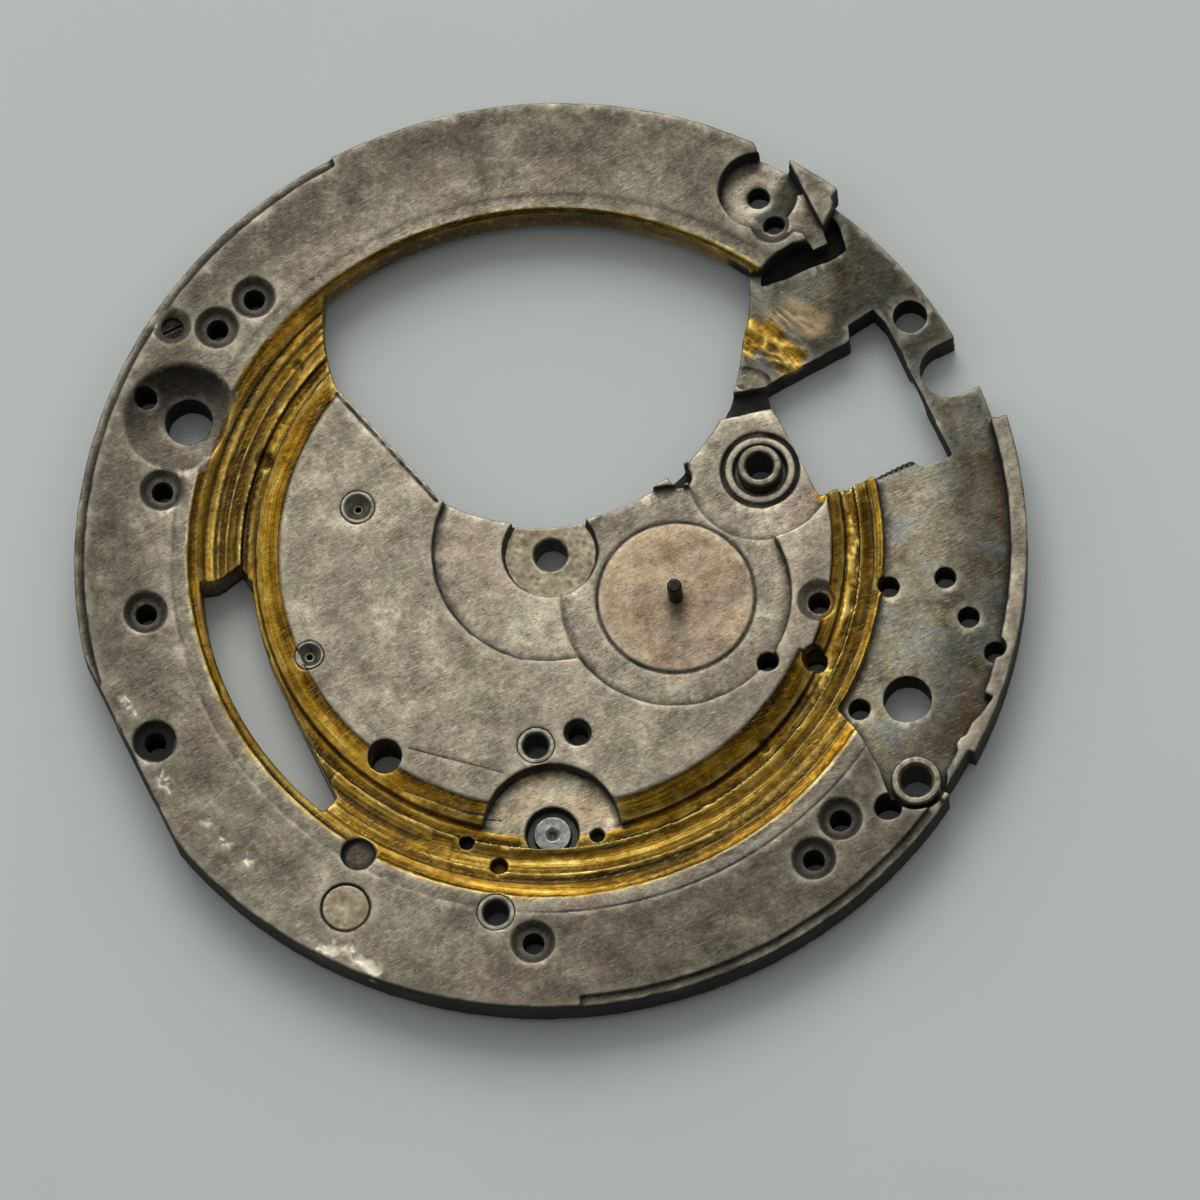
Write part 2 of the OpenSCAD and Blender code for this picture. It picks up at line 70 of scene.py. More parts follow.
def linear(code: str) -> RGBA:
    """Turns an sRGB colour to Blender's linear colour.

    Args:
        code: six hex digits after a hash.

    Returns:
        Linear red, green, blue and an alpha of 1.
    """
    shades = [int(code[i:i + 2], 16) / 255 for i in (1, 3, 5)]
    red, green, blue = (s / 12.92 if s <= 0.04045 else ((s + 0.055) / 1.055) ** 2.4 for s in shades)
    return red, green, blue, 1.0


def add(tree: NodeTree, kind: str, links: dict | None = None, **settings) -> Node:
    """Adds one node to a material or a world.

    Args:
        tree: the node tree.
        kind: the node's type name, without the word ShaderNode.
        links: for each input, by name or index, the socket that feeds it or its fixed value.
        settings: the node's own properties.

    Returns:
        The new node.
    """
    node = tree.nodes.new("ShaderNode" + kind)
    for name, value in settings.items():
        setattr(node, name, value)
    for key, value in (links or {}).items():
        if isinstance(value, Socket):
            tree.links.new(value, node.inputs[key])
        else:
            node.inputs[key].default_value = value
    return node


def ramp(node: Node, stops: Tones) -> Socket:
    """Fills a colour ramp.

    Args:
        node: the colour ramp node.
        stops: a position and a hex colour for each stop, in rising order.

    Returns:
        The ramp's colour output.
    """
    elements = node.color_ramp.elements
    while len(elements) < len(stops):
        elements.new(0.5)
    for element, (place, code) in zip(elements, stops):
        element.position = place
        element.color = linear(code)
    return node.outputs["Color"]


def layered(tree: NodeTree, colour: Socket | RGBA, *layers: tuple[Socket, Socket | RGBA]) -> Socket:
    """Lays colours over one another.

    Args:
        tree: the material's nodes.
        colour: the lowest colour.
        layers: how much of each upper colour shows, and that colour, from the lowest up.

    Returns:
        The colour that they give together.
    """
    for share, over in layers:
        colour = add(tree, "Mix", {"Factor": share, 6: colour, 7: over}, data_type="RGBA").outputs[2]
    return colour


def begun(name: str) -> tuple[Material, Socket]:
    """Begins a material.

    Args:
        name: its name.

    Returns:
        The material, still without a surface, and the place in millimetres.
    """
    material = bpy.data.materials.new(name)
    material.use_nodes = True
    tree = material.node_tree
    tree.nodes.clear()
    place = add(tree, "TexCoord").outputs["Object"]
    mm = add(tree, "VectorMath", {0: place, "Scale": 1 / MM}, operation="SCALE").outputs["Vector"]
    return material, mm


class Mark(Enum):
    """Names of the wear values that each vertex carries, some of which hold painted shade and highlights.
    """

    GRIME_AND_SHADE = "grime_and_shade"
    RUB_AND_HIGHLIGHT = "rub_and_highlight"
    BRASS = "brass"
    ROSE = "rose"
    TONE = "tone"
    PATINA = "patina"
    SILVER = "silver"
    RUST = "rust"


@dataclass(frozen=True)
class Lattice:
    """Smooth random values on a repeating cubic lattice, for wear that isn't even."""

    seed: int
    cells: int = 32

    def at(self, points: Array, pitch: float | Point) -> Array:
        """Reads the lattice.

        Args:
            points: places, one row each.
            pitch: size of a lattice cell, in the same units, or one size for each axis.

        Returns:
            One value from -1 to 1 for each place.
        """
        table = np.random.default_rng(self.seed).uniform(-1, 1, self.cells**3)
        scaled = (points / np.asarray(pitch)).T
        cell = np.floor(scaled).astype(int)
        share = scaled - cell
        share = share * share * (3 - 2 * share)
        weights = (1 - share, share)
        steps = (cell % self.cells, (cell + 1) % self.cells)
        total = np.zeros(len(points))
        for i, j, k in itertools.product((0, 1), repeat=3):
            index = (steps[i][0] * self.cells + steps[j][1]) * self.cells + steps[k][2]
            total += weights[i][0] * weights[j][1] * weights[k][2] * table[index]
        return total


@dataclass
class Skin:
    """Dense mesh of one worn piece, with its vertices in millimetres."""

    mesh: Mesh
    points: Array
    edges: Array
    marks: dict[Mark, Array] = field(default_factory=dict)

    @classmethod
    def of_node(cls, node: str, voxel: float) -> "Skin":
        """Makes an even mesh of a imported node.

        Args:
            node: the node's name.
            voxel: spacing of the vertices, in millimetres.

        Returns:
            The skin, at the node's place.
        """
        solid = frame["nodes"][node].data.copy()
        solid.transform(Matrix.Scale(1 / MM, 4))
        mesh = applied(solid, "REMESH", mode="VOXEL", voxel_size=voxel)
        edges = np.empty(len(mesh.edges) * 2, int)
        mesh.edges.foreach_get("vertices", edges)
        return cls(mesh, places(mesh), edges.reshape(-1, 2))

    def noise(self, seed: int, pitch: float) -> Array:
        """Returns smooth random values from -1 to 1 at the vertices, with lattice cells of one size."""
        return Lattice(seed).at(self.points, pitch)

    def normals(self) -> Array:
        """Returns the outward direction at each vertex."""
        self.store()
        found = np.empty(self.points.size, np.float32)
        self.mesh.vertex_normals.foreach_get("vector", found)
        return found.reshape(-1, 3).astype(float)

    def store(self) -> None:
        """Writes the places back to the mesh."""
        self.mesh.vertices.foreach_set("co", self.points.astype(np.float32).ravel())
        self.mesh.update()

    def relaxed(self, values: Array, times: int) -> Array:
        """Averages values with those of the neighbours.

        Args:
            values: one row for each vertex.
            times: how many times each vertex takes its neighbours' mean.

        Returns:
            The averaged values.
        """
        first, second = self.edges.T
        size = len(self.points)
        rows = values.reshape(size, -1)
        count = np.bincount(first, minlength=size) + np.bincount(second, minlength=size)
        for _ in range(times):
            sums = [np.bincount(first, column[second], size) + np.bincount(second, column[first], size)
                    for column in rows.T]
            rows = np.stack(sums, axis=1) / count[:, None]
        return rows.reshape(values.shape)

    def hollow(self, times: int) -> Array:
        """Tells corners from flats.

        Args:
            times: reach of the comparison, in mesh steps.

        Returns:
            Millimetres that each vertex lies under the smoothed surface, less than 0 on outer edges.
        """
        return np.einsum("ij,ij->i", self.relaxed(self.points, times) - self.points, self.normals())

    def finish(self, name: str, triangles: int, material: Material,
               slot: str) -> Object:
        """Turns the skin to a piece that stands for its node.

        Args:
            name: the node's name.
            triangles: the most triangles that the piece may have.
            material: its finish.
            slot: the record's material slot; not used.

        Returns:
            The piece, riding on the body.
        """
        self.store()
        for mark, values in self.marks.items():
            layer = self.mesh.attributes.new(mark.value, "FLOAT", "POINT")
            layer.data.foreach_set("value", np.clip(values, 0, 1).astype(np.float32))
        mesh = self.mesh
        made = len(mesh.loops) - 2 * len(mesh.polygons)
        if made > triangles:
            mesh = applied(mesh, "DECIMATE", ratio=triangles / made)
        low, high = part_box(name)
        inside = np.clip(places(mesh) * MM, low, high)
        mesh.vertices.foreach_set("co", inside.astype(np.float32).ravel())
        mesh.update()
        mesh.materials.clear()
        mesh.materials.append(material)
        mesh.shade_smooth()
        piece = bpy.data.objects.new("worn_" + name, mesh)
        bpy.context.scene.collection.objects.link(piece)
        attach(piece, BODY)
        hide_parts(name)
        LOG.info("%s: %d faces", name, len(mesh.polygons))
        return piece


def places(mesh: Mesh) -> Array:
    """Returns the places of a mesh's vertices, one row each."""
    found = np.empty(len(mesh.vertices) * 3, np.float32)
    mesh.vertices.foreach_get("co", found)
    return found.reshape(-1, 3).astype(float)


def smooth(values: Array, low: float, high: float) -> Array:
    """Eases values from 0 at one bound to 1 at the other.

    Args:
        values: what is eased.
        low: the value that gives 0.
        high: the value that gives 1, above or below the first.

    Returns:
        Values from 0 to 1.
    """
    share = np.clip((values - low) / (high - low), 0, 1)
    return share * share * (3 - 2 * share)


def between(values: Array, stops: Stops) -> Array:
    """Reads a line that is drawn through stops.

    Args:
        values: where it is read.
        stops: a value and what the line gives there, in rising order.

    Returns:
        What the line gives at each value.
    """
    return np.interp(values, *np.array(stops, float).T)


def applied(mesh: Mesh, kind: str, **settings) -> Mesh:
    """Runs one modifier on a mesh.

    Args:
        mesh: the mesh, which is left as it is.
        kind: the modifier's type name.
        settings: the modifier's properties.

    Returns:
        The changed mesh.
    """
    holder = bpy.data.objects.new("holder", mesh)
    bpy.context.scene.collection.objects.link(holder)
    modifier = holder.modifiers.new(kind, kind)
    for key, value in settings.items():
        setattr(modifier, key, value)
    graph = bpy.context.evaluated_depsgraph_get()
    result = bpy.data.meshes.new_from_object(holder.evaluated_get(graph))
    bpy.data.objects.remove(holder)
    return result


@dataclass(frozen=True)
class Cloud:
    """Noise of a material: its size in millimetres and how detailed, rough and distorted it is."""

    size: float
    detail: float
    roughness: float
    distortion: float = 0.0

    def inputs(self, mm: Socket) -> dict[str, Socket | float]:
        """Returns the inputs of a noise node that reads a place in millimetres."""
        return {"Vector": mm, "Scale": 1 / self.size, "Detail": self.detail, "Roughness": self.roughness,
                "Distortion": self.distortion}


@dataclass(frozen=True)
class Streaks:
    """Sparse straight marks: their size in millimetres, the directions that they run in, their strength."""

    length: float
    width: float
    turns: tuple[float, ...]
    strength: float

    def draw(self, tree: NodeTree, mm: Socket) -> Socket:
        """Adds the marks to a material.

        Args:
            tree: the material's nodes.
            mm: the place in millimetres.

        Returns:
            How clearly a mark shows at each place.
        """
        strongest = 0.0
        for turn in self.turns:
            turned = add(tree, "Mapping", {
                "Vector": mm, "Location": (turn * 7, turn * 3, 0), "Rotation": (0, 0, turn),
                "Scale": (1 / self.length, 1 / self.width, 1 / self.length)}).outputs[0]
            noise = add(tree, "TexNoise", {"Vector": turned, "Scale": 1.0, "Detail": 1.0}).outputs["Fac"]
            line = add(tree, "MapRange", {"Value": noise, "From Min": 0.67, "From Max": 0.74,
                                          "To Max": self.strength}).outputs["Result"]
            strongest = add(tree, "Math", {0: strongest, 1: line}, operation="MAXIMUM").outputs[0]
        return strongest


@dataclass(frozen=True)
class WornNickel:
    """Matte nickel plating on brass, worn by rubbing and stained by decades of handling.

    It gives the eye a warm grey that is blotched pink and green, with black in every corner that is partly
    dirty marks and partly painted shade, and worn edges that carry a painted highlight.
    Where the lathe cut through it, the raw brass shows as pale crests on brown-gold bands.
    """

    tones: Tones = ((0.32, "#6C6354"), (0.45, "#83796A"), (0.55, "#968B78"), (0.7, "#B6AB96"))
    # colour, offset and noise of each stain
    stains: tuple[tuple[str, float, Cloud], ...] = (
        ("#826A60", 11.0, Cloud(2.2, 6.0, 0.65)), ("#6B6D59", 37.0, Cloud(1.5, 6.0, 0.65)))
    stain_share: float = 0.6
    # colour of worn edges with their painted highlight
    rubbed_and_highlit: str = "#D9D0BB"
    # dark colour of pits, dirty marks and painted shade
    grime_and_shade: str = "#0D0B08"
    gold: Tones = ((0.38, "#2B1A03"), (0.45, "#5A3B06"), (0.52, "#8D630D"), (0.58, "#B98C26"),
                   (0.65, "#E9CC74"))
    bright_gold: str = "#E8CE74"
    rose: Tones = ((0.36, "#6E5844"), (0.5, "#A68B6F"), (0.62, "#C7AC8B"))
    patina: Tones = ((0.36, "#3A3122"), (0.45, "#67604A"), (0.51, "#79745F"), (0.57, "#677070"),
                     (0.66, "#8A8674"))
    silver: str = "#A8926C"
    rust: str = "#42301C"
    blotch: Cloud = Cloud(0.9, 9.0, 0.72)
    clouded: Cloud = Cloud(1.3, 6.0, 0.62)
    mottled: Cloud = Cloud(0.16, 4.0, 0.75, 1.2)
    mottle_range: Span = (0.79, 1.16)
    speck: Cloud = Cloud(0.12, 4.0, 0.6)
    pitting: float = 0.7
    patch: Cloud = Cloud(0.6, 6.0, 0.68)
    band_mm: float = 0.42
    line_mm: float = 0.045
    scratches: Streaks = Streaks(1.1, 0.03, (0.5, 2.2), 0.22)
    ticks: Streaks = Streaks(0.2, 0.035, (0.3, 1.2, 1.9, 2.8), 0.65)
    flecks: Streaks = Streaks(0.28, 0.03, (0.5, 1.4, 2.3, 3.0), 0.4)
    brightest: float = 2.0
    dull: float = 0.6
    polished: float = 0.42
    brass_polish: float = 0.14
    grime_dulling: float = 0.4
    grain: float = 0.42
    grain_mm: float = 0.02

    def build(self) -> Material:
        """Builds the material.

        Returns:
            A material that reads the wear values of the mesh.
        """
        material, mm = begun("worn_nickel_on_brass")
        tree = material.node_tree
        masks = {mark: add(tree, "Attribute", attribute_name=mark.value).outputs["Fac"] for mark in Mark}
        brass, darkening = masks[Mark.BRASS], masks[Mark.GRIME_AND_SHADE]
        blotch = add(tree, "TexNoise", self.blotch.inputs(mm)).outputs["Fac"]
        speck = add(tree, "TexNoise", self.speck.inputs(mm)).outputs["Fac"]
        pits = add(tree, "MapRange", {
            "Value": speck, "From Min": 0.36, "From Max": 0.22, "To Max": self.pitting}).outputs["Result"]
        pits = add(tree, "Math", {0: pits, 1: self.ticks.draw(tree, mm)}, operation="MAXIMUM").outputs[0]
        gold, lines = self.turned_brass(tree, mm, masks[Mark.TONE])
        bright = layered(tree, linear(self.rubbed_and_highlit), (brass, linear(self.bright_gold)))
        # The dark layer holds pits, dirty marks and painted shade; the bright layer is worn metal with a
        # painted highlight.
        colour = layered(
            tree, self.nickel(tree, mm, masks, blotch), (brass, gold),
            (masks[Mark.SILVER], linear(self.silver)), (masks[Mark.RUST], linear(self.rust)),
            (pits, linear(self.grime_and_shade)), (self.shine(tree, mm, masks, blotch), bright),
            (darkening, linear(self.grime_and_shade)))

        rough = add(tree, "MapRange", {"Value": blotch, "From Min": 0.3, "From Max": 0.7,
                                       "To Min": self.dull, "To Max": self.polished}).outputs["Result"]
        rough = add(tree, "Math", {0: brass, 1: -self.brass_polish, 2: rough},
                    operation="MULTIPLY_ADD").outputs[0]
        rough = add(tree, "Math", {0: darkening, 1: self.grime_dulling, 2: rough},
                    operation="MULTIPLY_ADD", use_clamp=True).outputs[0]
        metallic_share = add(tree, "Math", {0: 1.0, 1: darkening},
                    operation="SUBTRACT", use_clamp=True).outputs[0]
        cut = add(tree, "Math", {0: brass, 1: lines}, operation="MULTIPLY").outputs[0]
        relief = add(tree, "Math", {0: speck, 1: cut}).outputs[0]
        grain = add(tree, "Bump", {
            "Height": relief, "Strength": self.grain, "Distance": self.grain_mm * MM}).outputs["Normal"]
        surface = add(tree, "BsdfPrincipled", {
            "Base Color": colour, "Metallic": metallic_share, "Roughness": rough, "Normal": grain})
        add(tree, "OutputMaterial", {"Surface": surface.outputs[0]})
        return material

    def shine(self, tree: NodeTree, mm: Socket, masks: dict[Mark, Socket], blotch: Socket) -> Socket:
        """Brightens the worn edges, which carry a painted highlight too, and the thin bright marks.

        Args:
            tree: the material's nodes.
            mm: the place in millimetres.
            masks: the wear values.
            blotch: noise of the size of a stain.

        Returns:
            How much of the bright metal and painted highlight shows.
        """
        patchy = add(tree, "MapRange", {
            "Value": blotch, "From Min": 0.35, "From Max": 0.6, "To Min": 0.45}).outputs["Result"]
        rubbed_and_highlit = add(tree, "Math", {0: masks[Mark.RUB_AND_HIGHLIGHT], 1: patchy}, operation="MULTIPLY").outputs[0]
        thin = add(tree, "Math", {0: self.flecks.draw(tree, mm), 1: self.scratches.draw(tree, mm)},
                   operation="MAXIMUM").outputs[0]
        for factor in (masks[Mark.TONE], self.brightest):
            thin = add(tree, "Math", {0: thin, 1: factor}, operation="MULTIPLY").outputs[0]
        return add(tree, "Math", {0: thin, 1: rubbed_and_highlit}, operation="MAXIMUM").outputs[0]

    def nickel(self, tree: NodeTree, mm: Socket, masks: dict[Mark, Socket], blotch: Socket) -> Socket:
        """Builds the stained plating.

        Args:
            tree: the material's nodes.
            mm: the place in millimetres.
            masks: the wear values.
            blotch: noise of the size of a stain.

        Returns:
            The plating's colour.
        """
        colour = ramp(add(tree, "ValToRGB", {"Fac": blotch}), self.tones)
        for tint, offset, cloud in self.stains:
            moved = add(tree, "VectorMath", {0: mm, 1: (offset, offset, 0)}).outputs["Vector"]
            noise = add(tree, "TexNoise", cloud.inputs(moved)).outputs["Fac"]
            share = add(tree, "MapRange", {"Value": noise, "From Min": 0.5, "From Max": 0.68,
                                           "To Max": self.stain_share}).outputs["Result"]
            colour = layered(tree, colour, (share, linear(tint)))
        noise = add(tree, "TexNoise", self.clouded.inputs(mm)).outputs["Fac"]
        for mark, tones in ((Mark.ROSE, self.rose), (Mark.PATINA, self.patina)):
            stained = ramp(add(tree, "ValToRGB", {"Fac": noise}), tones)
            colour = layered(tree, colour, (masks[mark], stained))
        fine = add(tree, "TexNoise", self.mottled.inputs(mm)).outputs["Fac"]
        low, high = (share * self.brightest for share in self.mottle_range)
        mottle = add(tree, "MapRange", {"Value": fine, "From Min": 0.36, "From Max": 0.62,
                                        "To Min": low, "To Max": high}).outputs["Result"]
        tone = add(tree, "Math", {0: masks[Mark.TONE], 1: mottle}, operation="MULTIPLY").outputs[0]
        return add(tree, "VectorMath", {0: colour, "Scale": tone}, operation="SCALE").outputs["Vector"]

    def turned_brass(self, tree: NodeTree, mm: Socket, tone: Socket) -> tuple[Socket, Socket]:
        """Builds the bare brass of the turned channel.

        Args:
            tree: the material's nodes.
            mm: the place in millimetres.
            tone: how light the metal is.

        Returns:
            The brass's colour, and the height of its finest tool lines.
        """
        x, y, z = add(tree, "SeparateXYZ", {0: mm}).outputs
        flat = add(tree, "CombineXYZ", {0: x, 1: y}).outputs[0]
        radius = add(tree, "VectorMath", {0: flat}, operation="LENGTH").outputs["Value"]
        angle = add(tree, "Math", {0: y, 1: x}, operation="ARCTAN2").outputs[0]
        drift = add(tree, "TexNoise", {"Vector": mm, "Scale": 0.5, "Detail": 2.0}).outputs["Fac"]
        wander = add(tree, "Math", {0: drift, 1: 0.25, 2: radius}, operation="MULTIPLY_ADD").outputs[0]
        found = []
        for pitch, turns, detail in ((self.band_mm, 1.2, 3.0), (self.line_mm, 2.6, 2.0)):
            across = add(tree, "Math", {0: wander, 1: 1 / pitch}, operation="MULTIPLY").outputs[0]
            along = add(tree, "Math", {0: angle, 1: turns}, operation="MULTIPLY").outputs[0]
            lines = add(tree, "CombineXYZ", {0: across, 1: along, 2: z}).outputs[0]
            found.append(add(tree, "TexNoise", {"Vector": lines, "Scale": 0.9, "Detail": detail,
                                                "Roughness": 0.55}).outputs["Fac"])
        band, fine = found
        patch = add(tree, "TexNoise", self.patch.inputs(mm)).outputs["Fac"]
        height = 0.0
        for part, weight in ((fine, 0.18), (patch, 0.33), (band, 0.49)):
            height = add(tree, "Math", {0: part, 1: weight, 2: height}, operation="MULTIPLY_ADD").outputs[0]
        gold = ramp(add(tree, "ValToRGB", {"Fac": height}), self.gold)
        light = add(tree, "Math", {0: tone, 1: self.brightest}, operation="MULTIPLY").outputs[0]
        return add(tree, "VectorMath", {0: gold, "Scale": light}, operation="SCALE").outputs["Vector"], fine


@dataclass(frozen=True)
class AgedMetal:
    """Finish of a small turned piece, from bare tones and the same darkening, partly dirty marks and partly
    painted shade, with worn edges that carry a painted highlight.

    It gives the eye a piece that is a little cleaner or darker than the plate that it is pressed in.
    """

    name: str
    tones: tuple[str, ...]
    roughness: float = 0.4
    size: float = 0.35
    stops: tuple[float, ...] = (0.32, 0.5, 0.7)
    # dark colour of dirty marks and painted shade, then of worn edges with their painted highlight
    grime_and_shade: str = "#14110C"
    rubbed_and_highlit: str = "#E6E0D2"
    metallic: float = 0.92
    grain: float = 0.4
    grain_mm: float = 0.02

    def build(self) -> Material:
        """Builds the material.

        Returns:
            A material that reads the wear values of the mesh.
        """
        material, mm = begun(self.name)
        tree = material.node_tree
        grime_and_shade, rub_and_highlight = (add(tree, "Attribute", attribute_name=mark.value).outputs["Fac"]
                      for mark in (Mark.GRIME_AND_SHADE, Mark.RUB_AND_HIGHLIGHT))
        cloud = add(tree, "TexNoise", Cloud(self.size, 7.0, 0.65).inputs(mm)).outputs["Fac"]
        bare = ramp(add(tree, "ValToRGB", {"Fac": cloud}), tuple(zip(self.stops, self.tones)))
        worn = add(tree, "Math", {0: rub_and_highlight, 1: cloud}, operation="MULTIPLY").outputs[0]
        # The bright layer is worn metal with a painted highlight; the dark layer is dirty marks and painted
        # shade.
        colour = layered(tree, bare, (worn, linear(self.rubbed_and_highlit)), (grime_and_shade, linear(self.grime_and_shade)))
        metallic_share = add(tree, "Math", {0: self.metallic, 1: grime_and_shade},
                    operation="SUBTRACT", use_clamp=True).outputs[0]
        grain = add(tree, "Bump", {
            "Height": cloud, "Strength": self.grain, "Distance": self.grain_mm * MM}).outputs["Normal"]
        surface = add(tree, "BsdfPrincipled", {
            "Base Color": colour, "Metallic": metallic_share, "Roughness": self.roughness, "Normal": grain})
        add(tree, "OutputMaterial", {"Surface": surface.outputs[0]})
        return material


@dataclass(frozen=True)
class Dent:
    """A knock in the plate: where it is, its radius and its depth, in millimetres."""

    x: float
    y: float
    radius: float
    depth: float


@dataclass(frozen=True)
class Patch:
    """A worn stretch of the plate: all that is within a distance of a straight line, in millimetres."""

    start: Place
    stop: Place
    half: float

    def apart(self, skin: Skin) -> Array:
        """Returns how far each vertex is outside the patch, less than 0 inside it."""
        start, stop = np.array(self.start), np.array(self.stop)
        along = stop - start
        beside = skin.points[:, :2] - start
        share = np.clip(beside @ along / (along @ along), 0, 1)
        return np.hypot(*(beside - share[:, None] * along).T) - self.half


@dataclass(frozen=True)
class Nicks:
    """A cluster of short bright knocks: its centre and spread, how many and how long."""

    centre: Place
    spread: float
    count: int
    length: float
    half: float = 0.035

    def strokes(self, seed: int) -> list[Patch]:
        """Scatters the knocks, the same in each run.

        Args:
            seed: start of the random numbers.

        Returns:
            One thin patch for each knock.
        """
        rng = np.random.default_rng(seed)
        found = []
        for _ in range(self.count):
            start = np.array(self.centre) + rng.uniform(-self.spread, self.spread, 2)
            turn = rng.uniform(0, 2 * math.pi)
            stop = start + self.length * rng.uniform(0.4, 1) * np.array([math.cos(turn), math.sin(turn)])
            found.append(Patch(tuple(start), tuple(stop), self.half))
        return found


@dataclass(frozen=True)
class Floor:
    """A milled floor: the angles that it lies between, its inner radius and its greatest height."""

    start: float
    stop: float
    inner: float
    high: float

    def holds(self, radius: Array, angle: Array, z: Array) -> Array:
        """Tells which vertices are on it, by their radius, their angle and their height."""
        turned = (angle - self.start) % 360 < (self.stop - self.start) % 360
        return turned & (radius > self.inner) & (z < self.high)


@dataclass
class Mainplate:
    """The plate: its skin, its worn shape, and its dirty marks with painted shade and highlights, in
    millimetres and degrees.
    """

    voxel: float = 0.035
    quick_voxel: float = 0.06
    triangles: int = 195_000
    disc_r: float = 7.38
    ledge_r: float = 8.04
    channel_r: float = 9.93
    seat_r: float = 10.33
    top: float = 1.6
    key_z: float = 1.05
    # nickel below these heights is painted dark as shade
    black_z: Span = (0.84, 0.76)
    bridge_z: float = 0.5
    bridge_tone: float = 0.7
    dish: Circle = (-7.35, 8.0, 1.62)
    dish_from: float = 9.75
    moon: Circle = (-3.44, -7.26, 1.88)
    moon_to: float = 8.1
    moon_tone: float = 1.65
    moon_cream: float = 0.15
    hour: Circle = (0.0, 0.0, 3.21)
    minute: Circle = (2.49, -2.74, 3.15)
    rose_seat: Circle = (2.49, -2.74, 2.12)
    setting: Circle = (6.12, -0.52, 1.98)
    # circle, depth under the top, lightness
    recess_tones: tuple[tuple[Circle, float, float], ...] = (
        (hour, 0.1, 1.3), (minute, 0.1, 0.95), (rose_seat, 0.1, 0.98), (setting, 0.2, 1.1))
    spot: Circle = (9.64, 6.81, 1.08)
    # radius of a painted highlight ring round the spot face's hole
    spot_ring_r: float = 0.58
    cut: tuple[Place, Place] = ((-3.2, 6.9), (-2.1, 2.9))
    half_recess: Circle = (-8.39, -5.49, 0.46)
    # floor of the half recess, painted dark as shade
    half_recess_shade: float = 0.35
    keyless: Floor = Floor(293, 3, 8.9, 1.15)
    keyless_plated: Floor = Floor(296, 6, 9.04, 1.07)
    upper: Floor = Floor(3, 34, 7.0, 1.15)
    upper_plated: Floor = Floor(3, 34, 7.1, 1.17)
    upper_tone: float = 0.2
    torn: Patch = Patch((7.6, 3.4), (8.35, 2.2), 0.5)
    torn_tone: float = 0.7
    crest_at: float = 322.0
    crest_high: float = 0.035
    scraped: Patch = Patch((8.6, 3.4), (9.3, 2.9), 0.42)
    brushed: Patch = Patch((8.6, 3.9), (9.9, 3.6), 0.3)
    rusty: tuple[Patch, ...] = (
        Patch((7.3, -9.9), (8.7, -8.7), 0.3), Patch((12.0, -3.2), (11.7, -4.6), 0.3),
        Patch((7.85, 2.5), (8.1, 2.1), 0.15))
    neck: Patch = Patch((7.0, 2.2), (7.25, 1.9), 0.32)
    lip_tone: float = 0.75
    toothed: Patch = Patch((7.3, -1.92), (10.0, -2.03), 0.07)
    tooth_mm: float = 0.16
    # painted shadow that the minute wheel post casts on the plate
    dark_spots: Patch = Patch((2.49, -2.74), (2.36, -3.02), 0.2)
    chipped: tuple[Patch, ...] = (
        Patch((-10.3, -7.5), (-9.75, -7.75), 0.15), Patch((-9.75, -7.75), (-9.4, -8.75), 0.12))
    nicks: tuple[Nicks, ...] = (
        Nicks((-12.3, 1.2), 0.3, 6, 0.25), Nicks((-12.23, -1.3), 0.2, 7, 0.2),
        Nicks((-11.67, -2.85), 0.12, 6, 0.2), Nicks((-11.37, -3.61), 0.12, 6, 0.18),
        Nicks((-11.23, -4.34), 0.12, 6, 0.18))
    # circle, how dark it is painted
    darkened_holes: tuple[tuple[Circle, float], ...] = (
        ((-11.94, -0.11, 0.8), 1.0), ((2.49, -11.14, 0.66), 0.65), ((3.71, -10.56, 0.6), 0.6),
        ((-5.28, -9.74, 0.6), 0.55), ((-8.69, 6.32, 0.6), 0.55), ((-10.56, 3.43, 0.6), 0.55),
        ((-4.04, 10.35, 0.6), 0.55), ((-5.34, 10.03, 0.6), 0.55))
    scratches: tuple[Patch, ...] = (
        Patch((-5.9, -3.4), (-3.9, -5.2), 0.015), Patch((-6.5, -4.4), (-5.2, -5.8), 0.02),
        Patch((-5.2, -5.8), (-4.5, -6.25), 0.02))
    # angle or radius, lightness; the ledge's lightness by angle is painted reflection and shadow
    ledge_light_and_shade: Stops = (
        (0, 0.6), (130, 0.55), (180, 0.62), (196, 1.0), (226, 1.0), (245, 0.55), (270, 0.4), (305, 0.45),
        (315, 0.6), (360, 0.6))
    # the channel's lightness by radius, with painted highlights on its step edges
    channel_tones_and_highlights: Stops = (
        (8.04, 0.9), (8.2, 0.75), (8.4, 0.45), (9.1, 0.5), (9.3, 0.62), (9.6, 0.68), (9.93, 0.85))
    ring_tones: Stops = (
        (0, 0.45), (60, 0.42), (90, 0.45), (130, 0.5), (165, 0.42), (215, 0.85), (255, 0.42), (300, 0.36),
        (360, 0.45))
    plain_holes: tuple[Place, ...] = (
        (-1.6, -5.08), (5.1, -6.06), (9.31, -5.44), (9.37, -6.75), (7.82, -4.99), (5.56, -7.77),
        (9.64, 6.81))
    # pressed piece, how dirty the seam round it is
    seam_dirt: tuple[tuple[str, float], ...] = (
        ("filler_plug", 0.9), ("ring_screw_tube", 0.9), ("large_pivot_bush", 0.25),
        ("small_pivot_bush", 0.5))
    thread_r: float = 0.37
    thread_pitch: float = 0.2
    dents: tuple[Dent, ...] = (
        Dent(2.77, -7.61, 0.12, 0.08), Dent(-3.82, 8.01, 0.13, 0.1), Dent(-5.8, 5.97, 0.22, 0.12),
        Dent(-5.1, -7.42, 0.1, 0.06))

